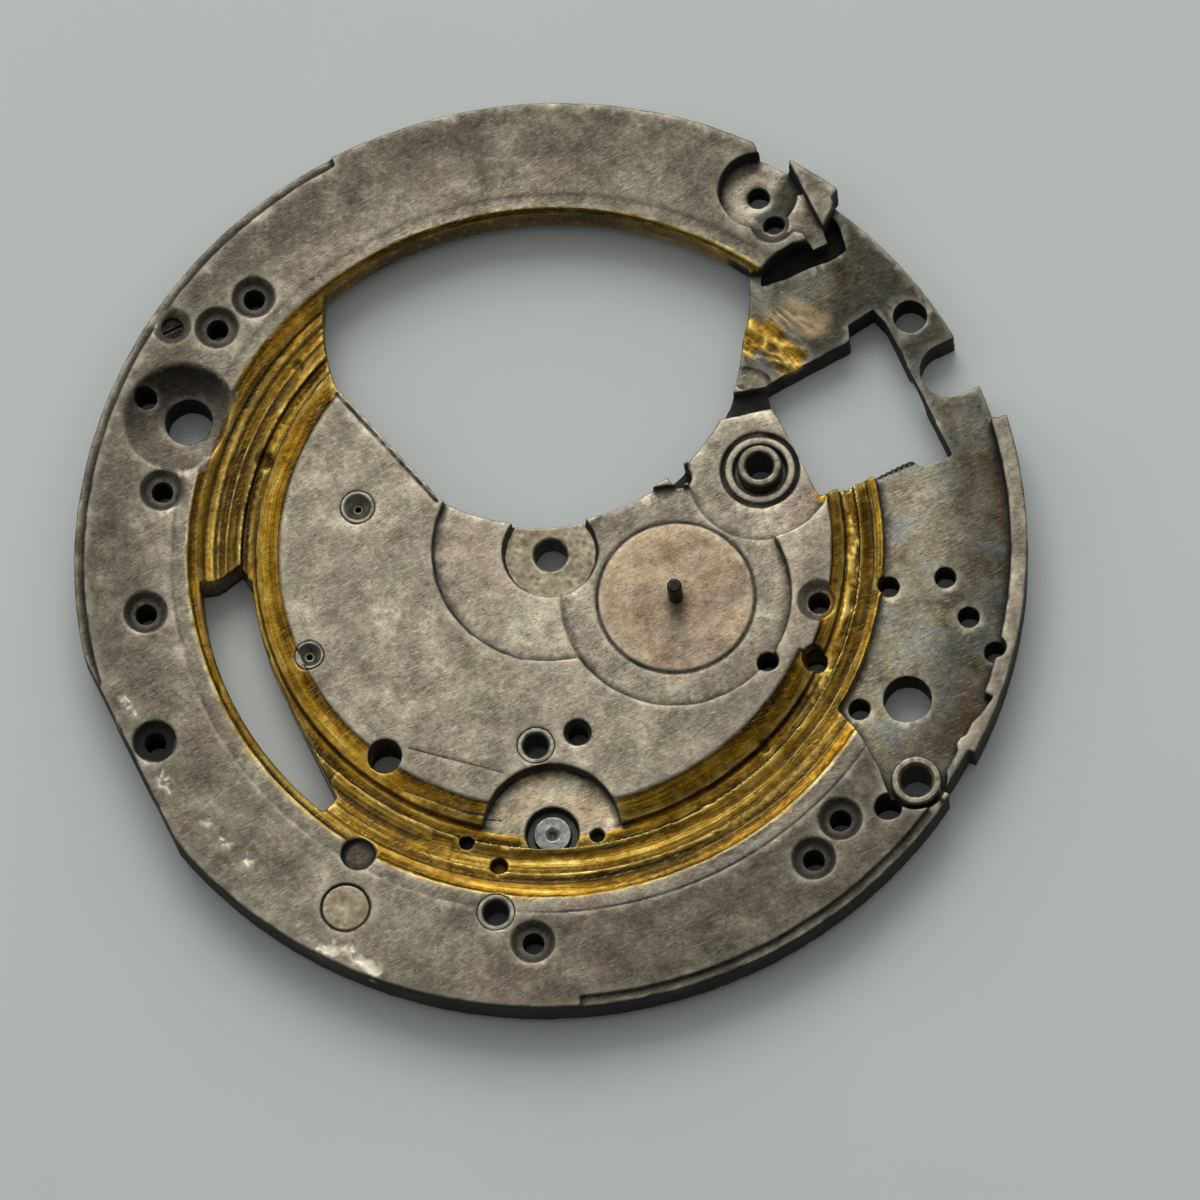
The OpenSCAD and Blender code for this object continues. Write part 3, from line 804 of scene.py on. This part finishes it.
    def build(self, finish: Material) -> Object:
        """Wears, marks and dresses the plate.

        Args:
            finish: the plate's material.

        Returns:
            The piece that stands for the plate.
        """
        skin = Skin.of_node("mainplate", self.voxel)
        skin.points = skin.relaxed(skin.points, 1)
        walls = smooth(1 - np.abs(skin.normals()[:, 2]), 0.25, 0.6)
        skin.marks[Mark.GRIME_AND_SHADE] = np.zeros(len(skin.points))
        skin.marks[Mark.RUB_AND_HIGHLIGHT] = np.zeros(len(skin.points))
        self.turn_channel(skin)
        self.cut_threads(skin)
        self.knock(skin)
        self.tear(skin)
        self.roughen(skin)
        self.mark(skin, walls)
        return skin.finish("mainplate", self.triangles, finish, "plated_brass")

    def polar(self, skin: Skin) -> tuple[Array, Array, Array]:
        """Returns the radius, the angle from 0 to 360 and the height of each vertex."""
        x, y, z = skin.points.T
        return np.hypot(x, y), np.degrees(np.arctan2(y, x)) % 360, z

    def apart(self, skin: Skin, circle: Circle) -> Array:
        """Returns how far each vertex is outside a circle, less than 0 inside it."""
        x, y, r = circle
        return np.hypot(skin.points[:, 0] - x, skin.points[:, 1] - y) - r

    def inside(self, skin: Skin, circle: Circle, depth: float) -> Array:
        """Tells which vertices are inside a circle and deeper than a depth under the top."""
        return (self.apart(skin, circle) < 0) & (skin.points[:, 2] < self.top - depth)

    def brass(self, skin: Skin) -> Array:
        """Tells where the lathe cut through the plating.

        Args:
            skin: the plate's skin.

        Returns:
            1 on brass and 0 on nickel, for each vertex.
        """
        radius, angle, z = self.polar(skin)
        turned = (radius > self.disc_r + 0.01) & (radius < self.channel_r + 0.03)
        turned &= (z < self.top - 0.03) & (z > 0.3)
        floors = self.keyless_plated.holds(radius, angle, z) | self.upper_plated.holds(radius, angle, z)
        spared = (angle > 311) & (angle < 344) & (radius < 7.66)
        bowl = (self.apart(skin, self.dish) < 0.05) & (radius > self.dish_from)
        recess = self.apart(skin, self.half_recess) < 0.02
        moon = (self.apart(skin, self.moon) < 0.02) & (radius < self.moon_to - 0.02)
        return (turned & ~(floors | spared | bowl | recess | moon)).astype(float)

    def turn_channel(self, skin: Skin) -> None:
        """Cuts uneven tool lines and a torn crest in the turned channel, and ridges in its wall."""
        radius, angle, z = self.polar(skin)
        outer = self.brass(skin) * smooth(radius, 8.0, 8.15)
        around = np.stack([radius, np.radians(angle) * 2, z * 0], axis=1)
        wander = radius + 0.05 * Lattice(3).at(around, 0.8)
        lines = np.stack([wander, np.radians(angle) * 0.8, z * 0.4], axis=1)
        coarse = 0.03 * Lattice(5).at(lines, (0.2, 0.5, 0.5))
        skin.points[:, 2] += outer * (coarse + 0.012 * Lattice(6).at(lines, (0.08, 0.3, 0.5)))
        torn = outer * smooth(np.abs(radius - self.ledge_r - 0.2), 0.3, 0.1)
        torn *= smooth(np.abs(angle - self.crest_at), 28, 16)
        flake = Lattice(16).at(lines, (0.11, 0.06, 1)) + 0.5 * skin.noise(17, 0.12)
        skin.points[:, 2] += self.crest_high * torn * flake
        skin.marks[Mark.RUB_AND_HIGHLIGHT] += 0.8 * torn * smooth(flake, 0.1, 0.4)
        wall = self.brass(skin) * (radius > self.channel_r - 0.1)
        depths = np.stack([z, np.radians(angle), z * 0], axis=1)
        ridges = 0.035 * Lattice(13).at(depths, (0.13, 0.6, 1))
        ridges += 0.02 * Lattice(14).at(depths, (0.07, 0.25, 1))
        skin.points[:, :2] *= (1 - wall * (0.02 + ridges) / radius)[:, None]

    def cut_threads(self, skin: Skin) -> None:
        """Raises the crests of the threads, clogged with old oil, in the screw holes."""
        tapped = [tuple(v / MM for v in mount["pos_m"][:2]) for mount in frame["record"]["mounts"]
                  if mount["name"].startswith("screw_hole")]
        for x, y in (*tapped, *self.plain_holes):
            beside = skin.points[:, :2] - (x, y)
            away = np.hypot(*beside.T)
            wall = (np.abs(away - self.thread_r) < 0.05) & (skin.points[:, 2] < self.top - 0.22)
            crest = np.abs((skin.points[wall, 2] / self.thread_pitch) % 1 - 0.5)
            skin.points[wall, :2] -= beside[wall] / away[wall, None] * (0.06 + 0.06 * crest)[:, None]

    def knock(self, skin: Skin) -> None:
        """Sinks the dents, the dial seat's edge line, the nicks and scratches, and the chips on the rim."""
        x, y, z = skin.points.T
        up = smooth(z, 0.9, 1.0)
        for dent in self.dents:
            away = np.hypot(x - dent.x, y - dent.y) / dent.radius
            skin.points[:, 2] -= dent.depth * np.exp(-(away**3)) * up
        radius, angle, _ = self.polar(skin)
        worn = 0.35 + 0.65 * smooth(np.abs(angle - 285), 60, 30)
        seat = smooth(np.abs(radius - self.seat_r), 0.06, 0.01)
        seat *= smooth(z, self.top - 0.15, self.top - 0.08)
        skin.points[:, 2] -= 0.03 * seat * worn
        self.nibble(skin, up)
        bright = [stroke for number, nicks in enumerate(self.nicks) for stroke in nicks.strokes(number)]
        for mark, strokes in ((Mark.RUB_AND_HIGHLIGHT, bright), (Mark.GRIME_AND_SHADE, self.scratches)):
            for stroke in strokes:
                cut = smooth(stroke.apart(skin), 0.02, -0.02) * up
                skin.points[:, 2] -= 0.025 * cut
                skin.marks[mark] = np.maximum(skin.marks[mark], cut)
        for chip in self.chipped:
            frayed = chip.apart(skin) + 0.15 * skin.noise(45, 0.2)
            broken = smooth(frayed, 0.02, -0.02) * up
            skin.points[:, 2] -= broken * (0.02 + 0.02 * skin.noise(46, 0.12))
            skin.marks[Mark.RUB_AND_HIGHLIGHT] = np.maximum(skin.marks[Mark.RUB_AND_HIGHLIGHT], broken * 2)

    def nibble(self, skin: Skin, up: Array) -> None:
        """Nibbles the disc's straight cut and cuts the toothed strip at the window.

        Args:
            skin: the plate's skin.
            up: 1 on the dial side and 0 on the bridge side, for each vertex.
        """
        x, y, z = skin.points.T
        radius = np.hypot(x, y)
        start, stop = (np.array(end) for end in self.cut)
        ahead = (stop - start) / np.hypot(*(stop - start))
        off = (x - start[0]) * ahead[1] - (y - start[1]) * ahead[0]
        beside = (radius < self.disc_r + 0.1) * (y > 2.6) * (x < 0)
        line = smooth(np.abs(off - 0.12), 0.07, 0.02) * beside
        line *= 0.6 + 0.4 * skin.noise(7, 0.15)
        skin.points[:, 2] -= 0.07 * line * up
        teeth = smooth(self.toothed.apart(skin), 0.06, 0) * (z < self.key_z + 0.05) * up
        skin.points[:, 2] -= teeth * 0.06 * (1 + np.sin(x * 2 * math.pi / self.tooth_mm))
        skin.marks[Mark.GRIME_AND_SHADE] += 0.8 * teeth + line * up
        edge = beside * up
        skin.marks[Mark.RUB_AND_HIGHLIGHT] += 0.9 * edge * smooth(off, 0.07, 0.04)
        bites = np.clip(skin.noise(15, 0.18), 0, 1)
        skin.points[:, 2] -= 0.1 * edge * smooth(off, 0.06, 0.02) * bites

    def tear(self, skin: Skin) -> None:
        """Chews the metal at the inner end of the floor above the window."""
        z = skin.points[:, 2]
        torn = smooth(self.torn.apart(skin), 0.15, -0.2) * smooth(z, 0.85, 1.0)
        along = skin.points @ np.array([[0.5, 0.87, 0], [-0.87, 0.5, 0], [0, 0, 1.0]])
        along[:, 1] += 0.35 * skin.noise(40, 0.7)
        ridges = 1 - np.abs(Lattice(41).at(along, (0.9, 0.26, 0.6)))
        skin.points[:, 2] += torn * (0.14 * (ridges - 0.75) + 0.05 * skin.noise(42, 0.2) - 0.06)
        skin.points[:, 2] -= 0.04 * smooth(self.neck.apart(skin), 0.04, 0) * smooth(z, 0.85, 1.0)
        scraped = smooth(self.scraped.apart(skin), 0.2, -0.3) * smooth(z, 0.85, 1.0)
        skin.points[:, 2] += scraped * (0.012 * Lattice(43).at(along, (0.5, 0.09, 0.5)) - 0.03)

    def roughen(self, skin: Skin) -> None:
        """Gives the faces their unevenness and nibbles the outer edges."""
        normals = skin.normals()
        outer = np.clip(-skin.hollow(4) / 0.02, 0, 1)
        uneven = 0.005 * skin.noise(8, 0.5) + 0.003 * skin.noise(9, 0.11)
        nibble = outer * np.clip(skin.noise(12, 0.3), 0, 1) * 0.035
        skin.points += normals * (uneven - nibble)[:, None]

    def tone(self, skin: Skin) -> Array:
        """Tells how light the metal is, with painted sheen, highlights and shade among its tones.

        Args:
            skin: the plate's skin.

        Returns:
            Lightness beside the disc's, for each vertex.
        """
        radius, angle, z = self.polar(skin)
        ring = between(angle, self.ring_tones)
        # A painted sheen lightens the inner ring on the side toward the light.
        ring *= 1 + 0.9 * smooth(radius, 11.9, 10.3) * smooth(np.abs(angle - 110), 90, 40)
        seat = (radius < self.seat_r) & (np.abs(angle - 285) < 50)
        tone = np.where((radius > 9.9) & (z > 0.02), ring + 0.45 * seat, 1.0)
        tone[z < self.bridge_z] = self.bridge_tone
        tone = self.brass_tone(skin, tone)
        for circle, depth, value in self.recess_tones:
            tone[self.inside(skin, circle, depth)] = value
        bowl = self.inside(skin, self.dish, 0.05) & (radius > self.dish_from)
        # Painted shade darkens the dish toward its far wall.
        far_side = (skin.points[:, :2] - self.dish[:2]) @ (0.29, 0.96)
        tone[bowl] = (0.55 - 0.43 * smooth(far_side, -0.5, 1.1))[bowl]
        tone[self.inside(skin, self.moon, 0.2) & (radius < self.moon_to)] = self.moon_tone
        spot = (self.apart(skin, self.spot) < 0.35) & (z < self.top - 0.2)
        # A painted highlight ring round the spot face's hole.
        painted_highlight_ring = smooth(np.abs(self.apart(skin, (*self.spot[:2], self.spot_ring_r))), 0.24, 0.05)
        tone[spot] = (0.8 + 0.8 * painted_highlight_ring)[spot]
        upper = self.upper.holds(radius, angle, z)
        tone[upper] = self.upper_tone
        brushed = smooth(self.brushed.apart(skin), 0.5, -0.2) * upper
        tone += 0.4 * brushed + 0.9 * smooth(self.neck.apart(skin), 0.15, -0.05) * upper
        keyless = self.keyless.holds(radius, angle, z)
        tone[keyless] = (0.4 + 0.7 * smooth(radius, 11.5, 10.2))[keyless]
        tone[(self.torn.apart(skin) < 0.1) & upper] = self.torn_tone
        tone[(radius > 12.1) & (np.abs(angle - 330) < 26) & (z > self.key_z + 0.1)] = self.lip_tone
        # Painted shade on the half recess's floor.
        tone[self.inside(skin, self.half_recess, 0.1)] = self.half_recess_shade
        return tone * (1 + 0.1 * skin.noise(51, 1.4))

    def brass_tone(self, skin: Skin, tone: Array) -> Array:
        """Sets how light the turned brass is, by radius in the channel with painted highlights on its step
        edges and outer band, and by angle on its ledge as painted reflection and shadow.

        Args:
            skin: the plate's skin.
            tone: lightness of the plating, for each vertex.

        Returns:
            The same with the brass's own lightness.
        """
        radius, angle, _ = self.polar(skin)
        brass = self.brass(skin) > 0
        wander = radius + 0.15 * skin.noise(53, 0.9)
        # A painted highlight on the outer band round 325 degrees.
        crest = smooth(radius, 8.85, 9.1) * smooth(np.abs(angle - 325), 45, 25)
        tone = np.where(brass, between(wander, self.channel_tones_and_highlights) * (1 + 0.7 * crest), tone)
        # On the ledge, lightness by angle is painted reflection and shadow.
        return np.where(brass & (radius < self.ledge_r), between(angle, self.ledge_light_and_shade), tone)

    def seams(self, skin: Skin) -> Array:
        """Tells where dirt fills the seam round a pressed piece.

        Args:
            skin: the plate's skin.

        Returns:
            How dirty the seam is, 0 away from it, for each vertex.
        """
        found = np.zeros(len(skin.points))
        for node, darkening in self.seam_dirt:
            low, high = (np.array(corner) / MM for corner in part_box(node))
            circle = (*(low + high)[:2] / 2, (high - low)[0] / 2)
            found = np.maximum(found, darkening * smooth(np.abs(self.apart(skin, circle)), 0.05, 0.02))
        return found

    def mark(self, skin: Skin, walls: Array) -> None:
        """Fills in the darkening, partly dirty marks and partly painted shade, the worn edges with their
        painted highlight, and the metals.

        Args:
            skin: the plate's skin.
            walls: how steep the plate is at each vertex, from 0 to 1.
        """
        marks = skin.marks
        near = skin.hollow(4)
        wide = skin.hollow(14)
        radius, angle, z = self.polar(skin)
        frayed = 0.25 * skin.noise(44, 0.35)
        torn = smooth(self.torn.apart(skin) + frayed, 0.1, -0.1) * (z > 0.8)
        brass = np.maximum(self.brass(skin), torn)
        patchy = 0.65 + 0.35 * skin.noise(21, 0.5)
        plain = (1 - brass) * (0.88 + 0.12 * skin.noise(23, 0.8))
        # Corners darken: dirty marks in the tight ones and painted shade in the broad hollows.
        corner = np.clip(near / 0.01, 0, 1) * patchy + np.clip(wide / 0.07, 0, 1) * 0.6
        seams = self.seams(skin)
        # Painted shade: nickel below black_z, on deep floors and down holes, goes dark where it does not
        # face down.
        sunk = smooth(z, *self.black_z) * (1 - brass) * 0.94 * (skin.normals()[:, 2] > -0.5)
        # Painted shadow under the minute wheel post, then the listed holes painted darker.
        dark_spots = 0.55 * smooth(self.dark_spots.apart(skin), 0.2, -0.1) * (z > 1.2)
        for circle, darkening in self.darkened_holes:
            darkened_holes = (self.apart(skin, circle) < 0.04) * (z < self.top - 0.03)
            dark_spots = np.maximum(dark_spots, darkening * darkened_holes)
        # The dark layer: scratches and cut lines, corners, painted shade on steep nickel walls and deep
        # floors, seams, the painted post shadow and the darkened holes.
        grime_and_shade = np.maximum.reduce(
            [marks[Mark.GRIME_AND_SHADE], corner * (1 - 0.6 * brass), walls * plain, sunk, seams, dark_spots])
        # Outer edges brighten: worn metal with a painted highlight.
        rub_and_highlight = np.clip(-near / 0.013, 0, 1) * (0.6 + 0.4 * skin.noise(22, 0.3))
        rub_and_highlight *= (0.7 + 0.3 * brass) * (1 - 0.6 * walls) * (1 - seams)
        marks[Mark.GRIME_AND_SHADE] = grime_and_shade * (1 - 0.9 * np.clip(marks[Mark.RUB_AND_HIGHLIGHT], 0, 1))
        marks[Mark.RUB_AND_HIGHLIGHT] = np.maximum(marks[Mark.RUB_AND_HIGHLIGHT], rub_and_highlight)
        creamy = self.moon_cream * (self.inside(skin, self.moon, 0.2) & (radius < self.moon_to))
        marks[Mark.BRASS] = np.maximum(brass, creamy)
        worn_seat = (self.apart(skin, self.rose_seat) < 0) & (z > 1.2)
        marks[Mark.ROSE] = worn_seat * (0.6 + 0.35 * skin.noise(24, 0.7))
        marks[Mark.TONE] = self.tone(skin) / WornNickel.brightest
        floors = self.upper.holds(radius, angle, z) | self.keyless.holds(radius, angle, z)
        marks[Mark.PATINA] = floors * (0.65 + 0.35 * skin.noise(25, 0.9))
        silver = 0.6 * smooth(self.scraped.apart(skin) + frayed, 0.15, -0.2)
        marks[Mark.SILVER] = silver * (z > 0.9) * (1 - torn)
        nearest = np.minimum.reduce([patch.apart(skin) for patch in self.rusty])
        marks[Mark.RUST] = 0.75 * smooth(nearest + frayed, 0.25, -0.15) * (z < self.top - 0.1)


@dataclass
class PressedPiece:
    """A small piece that is pressed or riveted in the plate, with its sizes in millimetres."""

    node: str
    slot: str
    voxel: float = 0.018
    # the piece is painted darker below this height
    dark_below_z: float = 0.0
    triangles: int = 20_000
    uneven: float = 0.004
    uneven_pitch: float = 0.12

    def build(self, finish: Material) -> Object:
        """Wears and dresses the piece.

        Args:
            finish: its material.

        Returns:
            The piece that stands for the node.
        """
        skin = Skin.of_node(self.node, self.voxel)
        skin.points = skin.relaxed(skin.points, 2)
        normals = skin.normals()
        walls = smooth(np.abs(normals[:, 2]), 0.6, 0.3)
        bumps = self.uneven * skin.noise(31, self.uneven_pitch)
        skin.points += normals * bumps[:, None]
        near = skin.hollow(5)
        # Corners darken with dirty marks and painted shade, steep walls with painted shade, and the parts
        # below a height are painted darker.
        corner = np.clip(near / 0.008, 0, 1) * 0.9
        sunk = smooth(skin.points[:, 2], self.dark_below_z + 0.01, self.dark_below_z - 0.02)
        skin.marks[Mark.GRIME_AND_SHADE] = np.maximum.reduce([corner, walls * 0.88, sunk * 0.9])
        # Outer edges brighten: worn metal with a painted highlight.
        skin.marks[Mark.RUB_AND_HIGHLIGHT] = np.clip(-near / 0.012, 0, 1) * 0.5
        return skin.finish(self.node, self.triangles, finish, self.slot)


class Finish(Enum):
    """Finishes of the pressed pieces."""

    CREAM = AgedMetal("creamy_pitted_brass", ("#675D4B", "#8A7E67", "#B2A68D"), 0.5, 0.3)
    DARK_STEEL = AgedMetal("oxidised_dark_steel", ("#0B0908", "#1E1815", "#3C2F27"), 0.5, 0.2)
    BRIGHT_STEEL = AgedMetal("turned_bright_steel", ("#4B4639", "#746D5B", "#A69E8A"), 0.38, 0.3)
    BLUE_STEEL = AgedMetal("polished_blue_grey_steel", ("#4C4E4C", "#7E807C", "#AFB0AB"), 0.3, 0.3)
    GREY_BRASS = AgedMetal("grey_plated_bush", ("#575248", "#7C7668", "#A29C8D"), 0.42, 0.25)


PRESSED = (
    (PressedPiece("centre_bush", "bush_alloy", 0.022, uneven=0.012), Finish.CREAM),
    (PressedPiece("minute_wheel_post", "steel", 0.012), Finish.DARK_STEEL),
    (PressedPiece("setting_wheel_post", "steel"), Finish.BRIGHT_STEEL),
    (PressedPiece("ring_screw_tube", "steel"), Finish.BRIGHT_STEEL),
    (PressedPiece("filler_plug", "bush_alloy"), Finish.CREAM),
    (PressedPiece("balance_endstone", "steel", dark_below_z=0.88), Finish.BLUE_STEEL),
    (PressedPiece("large_pivot_bush", "bush_alloy", 0.014), Finish.GREY_BRASS),
    (PressedPiece("small_pivot_bush", "bush_alloy", 0.014), Finish.GREY_BRASS),
    (PressedPiece("broken_screw", "steel", 0.012), Finish.DARK_STEEL),
    (PressedPiece("steady_bushes", "bush_alloy", 0.014), Finish.GREY_BRASS),
)


@dataclass
class Studio:
    """Pale floor, soft light and the camera at the photograph's angle, with sizes in millimetres."""

    camera_at: Point = (-27.15, -94.78, 285.5)
    target: Point = (0.585, -1.960, 1.6)
    up: Point = (0.4354, 0.9002, 0.0)
    lens: float = 331.3
    sensor: float = 36.0
    clip: Span = (10.0, 5000.0)
    floor_half: float = 400.0
    floor_z: float = -0.01
    floor_tones: Tones = ((0.3, "#C3C6C4"), (0.7, "#C7CAC8"))
    sky_tone: str = "#F4F8F6"
    # direction of the brightest sky, and the least and greatest strength
    window: Point = (0.19, 0.62, 0.77)
    sky: Span = (0.07, 0.87)
    softbox: Point = (60, 200, 220)
    softbox_size: float = 200
    softbox_watts: float = 0.4

    def build(self) -> None:
        """Builds the floor, the lights and the camera."""
        bpy.context.scene.view_settings.view_transform = "Standard"
        self.floor()
        self.lights()
        self.camera()

    def floor(self) -> None:
        """Lays a sheet of pale matte board under the plate."""
        half = self.floor_half * MM
        under = self.floor_z * MM
        mesh = bpy.data.meshes.new("floor")
        corners = [(x * half, y * half, under) for x, y in ((-1, -1), (1, -1), (1, 1), (-1, 1))]
        mesh.from_pydata(corners, [], [(0, 1, 2, 3)])
        material = bpy.data.materials.new("pale_matte_board")
        material.use_nodes = True
        tree = material.node_tree
        surface = tree.nodes["Principled BSDF"]
        place = add(tree, "TexCoord").outputs["Object"]
        cloud = add(tree, "TexNoise", {"Vector": place, "Scale": 60.0, "Detail": 4.0}).outputs["Fac"]
        tone = ramp(add(tree, "ValToRGB", {"Fac": cloud}), self.floor_tones)
        tree.links.new(tone, surface.inputs["Base Color"])
        surface.inputs["Roughness"].default_value = 0.9
        mesh.materials.append(material)
        floor = bpy.data.objects.new("floor", mesh)
        bpy.context.scene.collection.objects.link(floor)

    def lights(self) -> None:
        """Hangs a wide softbox behind the plate, under a sky that is brighter on that side."""
        world = bpy.data.worlds.new("studio")
        world.use_nodes = True
        tree = world.node_tree
        sky = tree.nodes["Background"]
        sky.inputs["Color"].default_value = linear(self.sky_tone)
        toward = add(tree, "TexCoord").outputs["Generated"]
        facing = add(tree, "VectorMath", {0: toward, 1: Vector(self.window).normalized()},
                     operation="DOT_PRODUCT").outputs["Value"]
        low, high = self.sky
        glow = add(tree, "MapRange", {"Value": facing, "From Min": -0.1, "From Max": 0.95, "To Min": low,
                                      "To Max": high}, interpolation_type="SMOOTHSTEP").outputs["Result"]
        tree.links.new(glow, sky.inputs["Strength"])
        bpy.context.scene.world = world
        light = bpy.data.lights.new("softbox", "AREA")
        light.shape = "SQUARE"
        light.size = self.softbox_size * MM
        light.energy = self.softbox_watts
        holder = bpy.data.objects.new("softbox", light)
        holder.location = Vector(self.softbox) * MM
        holder.rotation_euler = (-Vector(self.softbox)).to_track_quat("-Z", "Y").to_euler()
        bpy.context.scene.collection.objects.link(holder)

    def camera(self) -> None:
        """Sets the camera where the photograph was taken from."""
        place = Vector(self.camera_at)
        back = (place - Vector(self.target)).normalized()
        right = Vector(self.up).cross(back).normalized()
        camera = bpy.data.cameras.new("camera")
        camera.lens = self.lens
        camera.sensor_width = self.sensor
        camera.clip_start, camera.clip_end = (distance * MM for distance in self.clip)
        holder = bpy.data.objects.new("camera", camera)
        turn = Matrix((right, back.cross(right), back)).transposed().to_4x4()
        holder.matrix_world = Matrix.Translation(place * MM) @ turn
        bpy.context.scene.collection.objects.link(holder)
        bpy.context.scene.camera = holder


def main() -> None:
    """Builds the plate, its pressed pieces and the studio."""
    logging.basicConfig(level=logging.INFO, format="%(name)s: %(message)s")
    Mainplate().build(WornNickel().build())
    materials = {finish: finish.value.build() for finish in Finish}
    for piece, finish in PRESSED:
        piece.build(materials[finish])
    Studio().build()


if __name__ == "__main__":
    main()
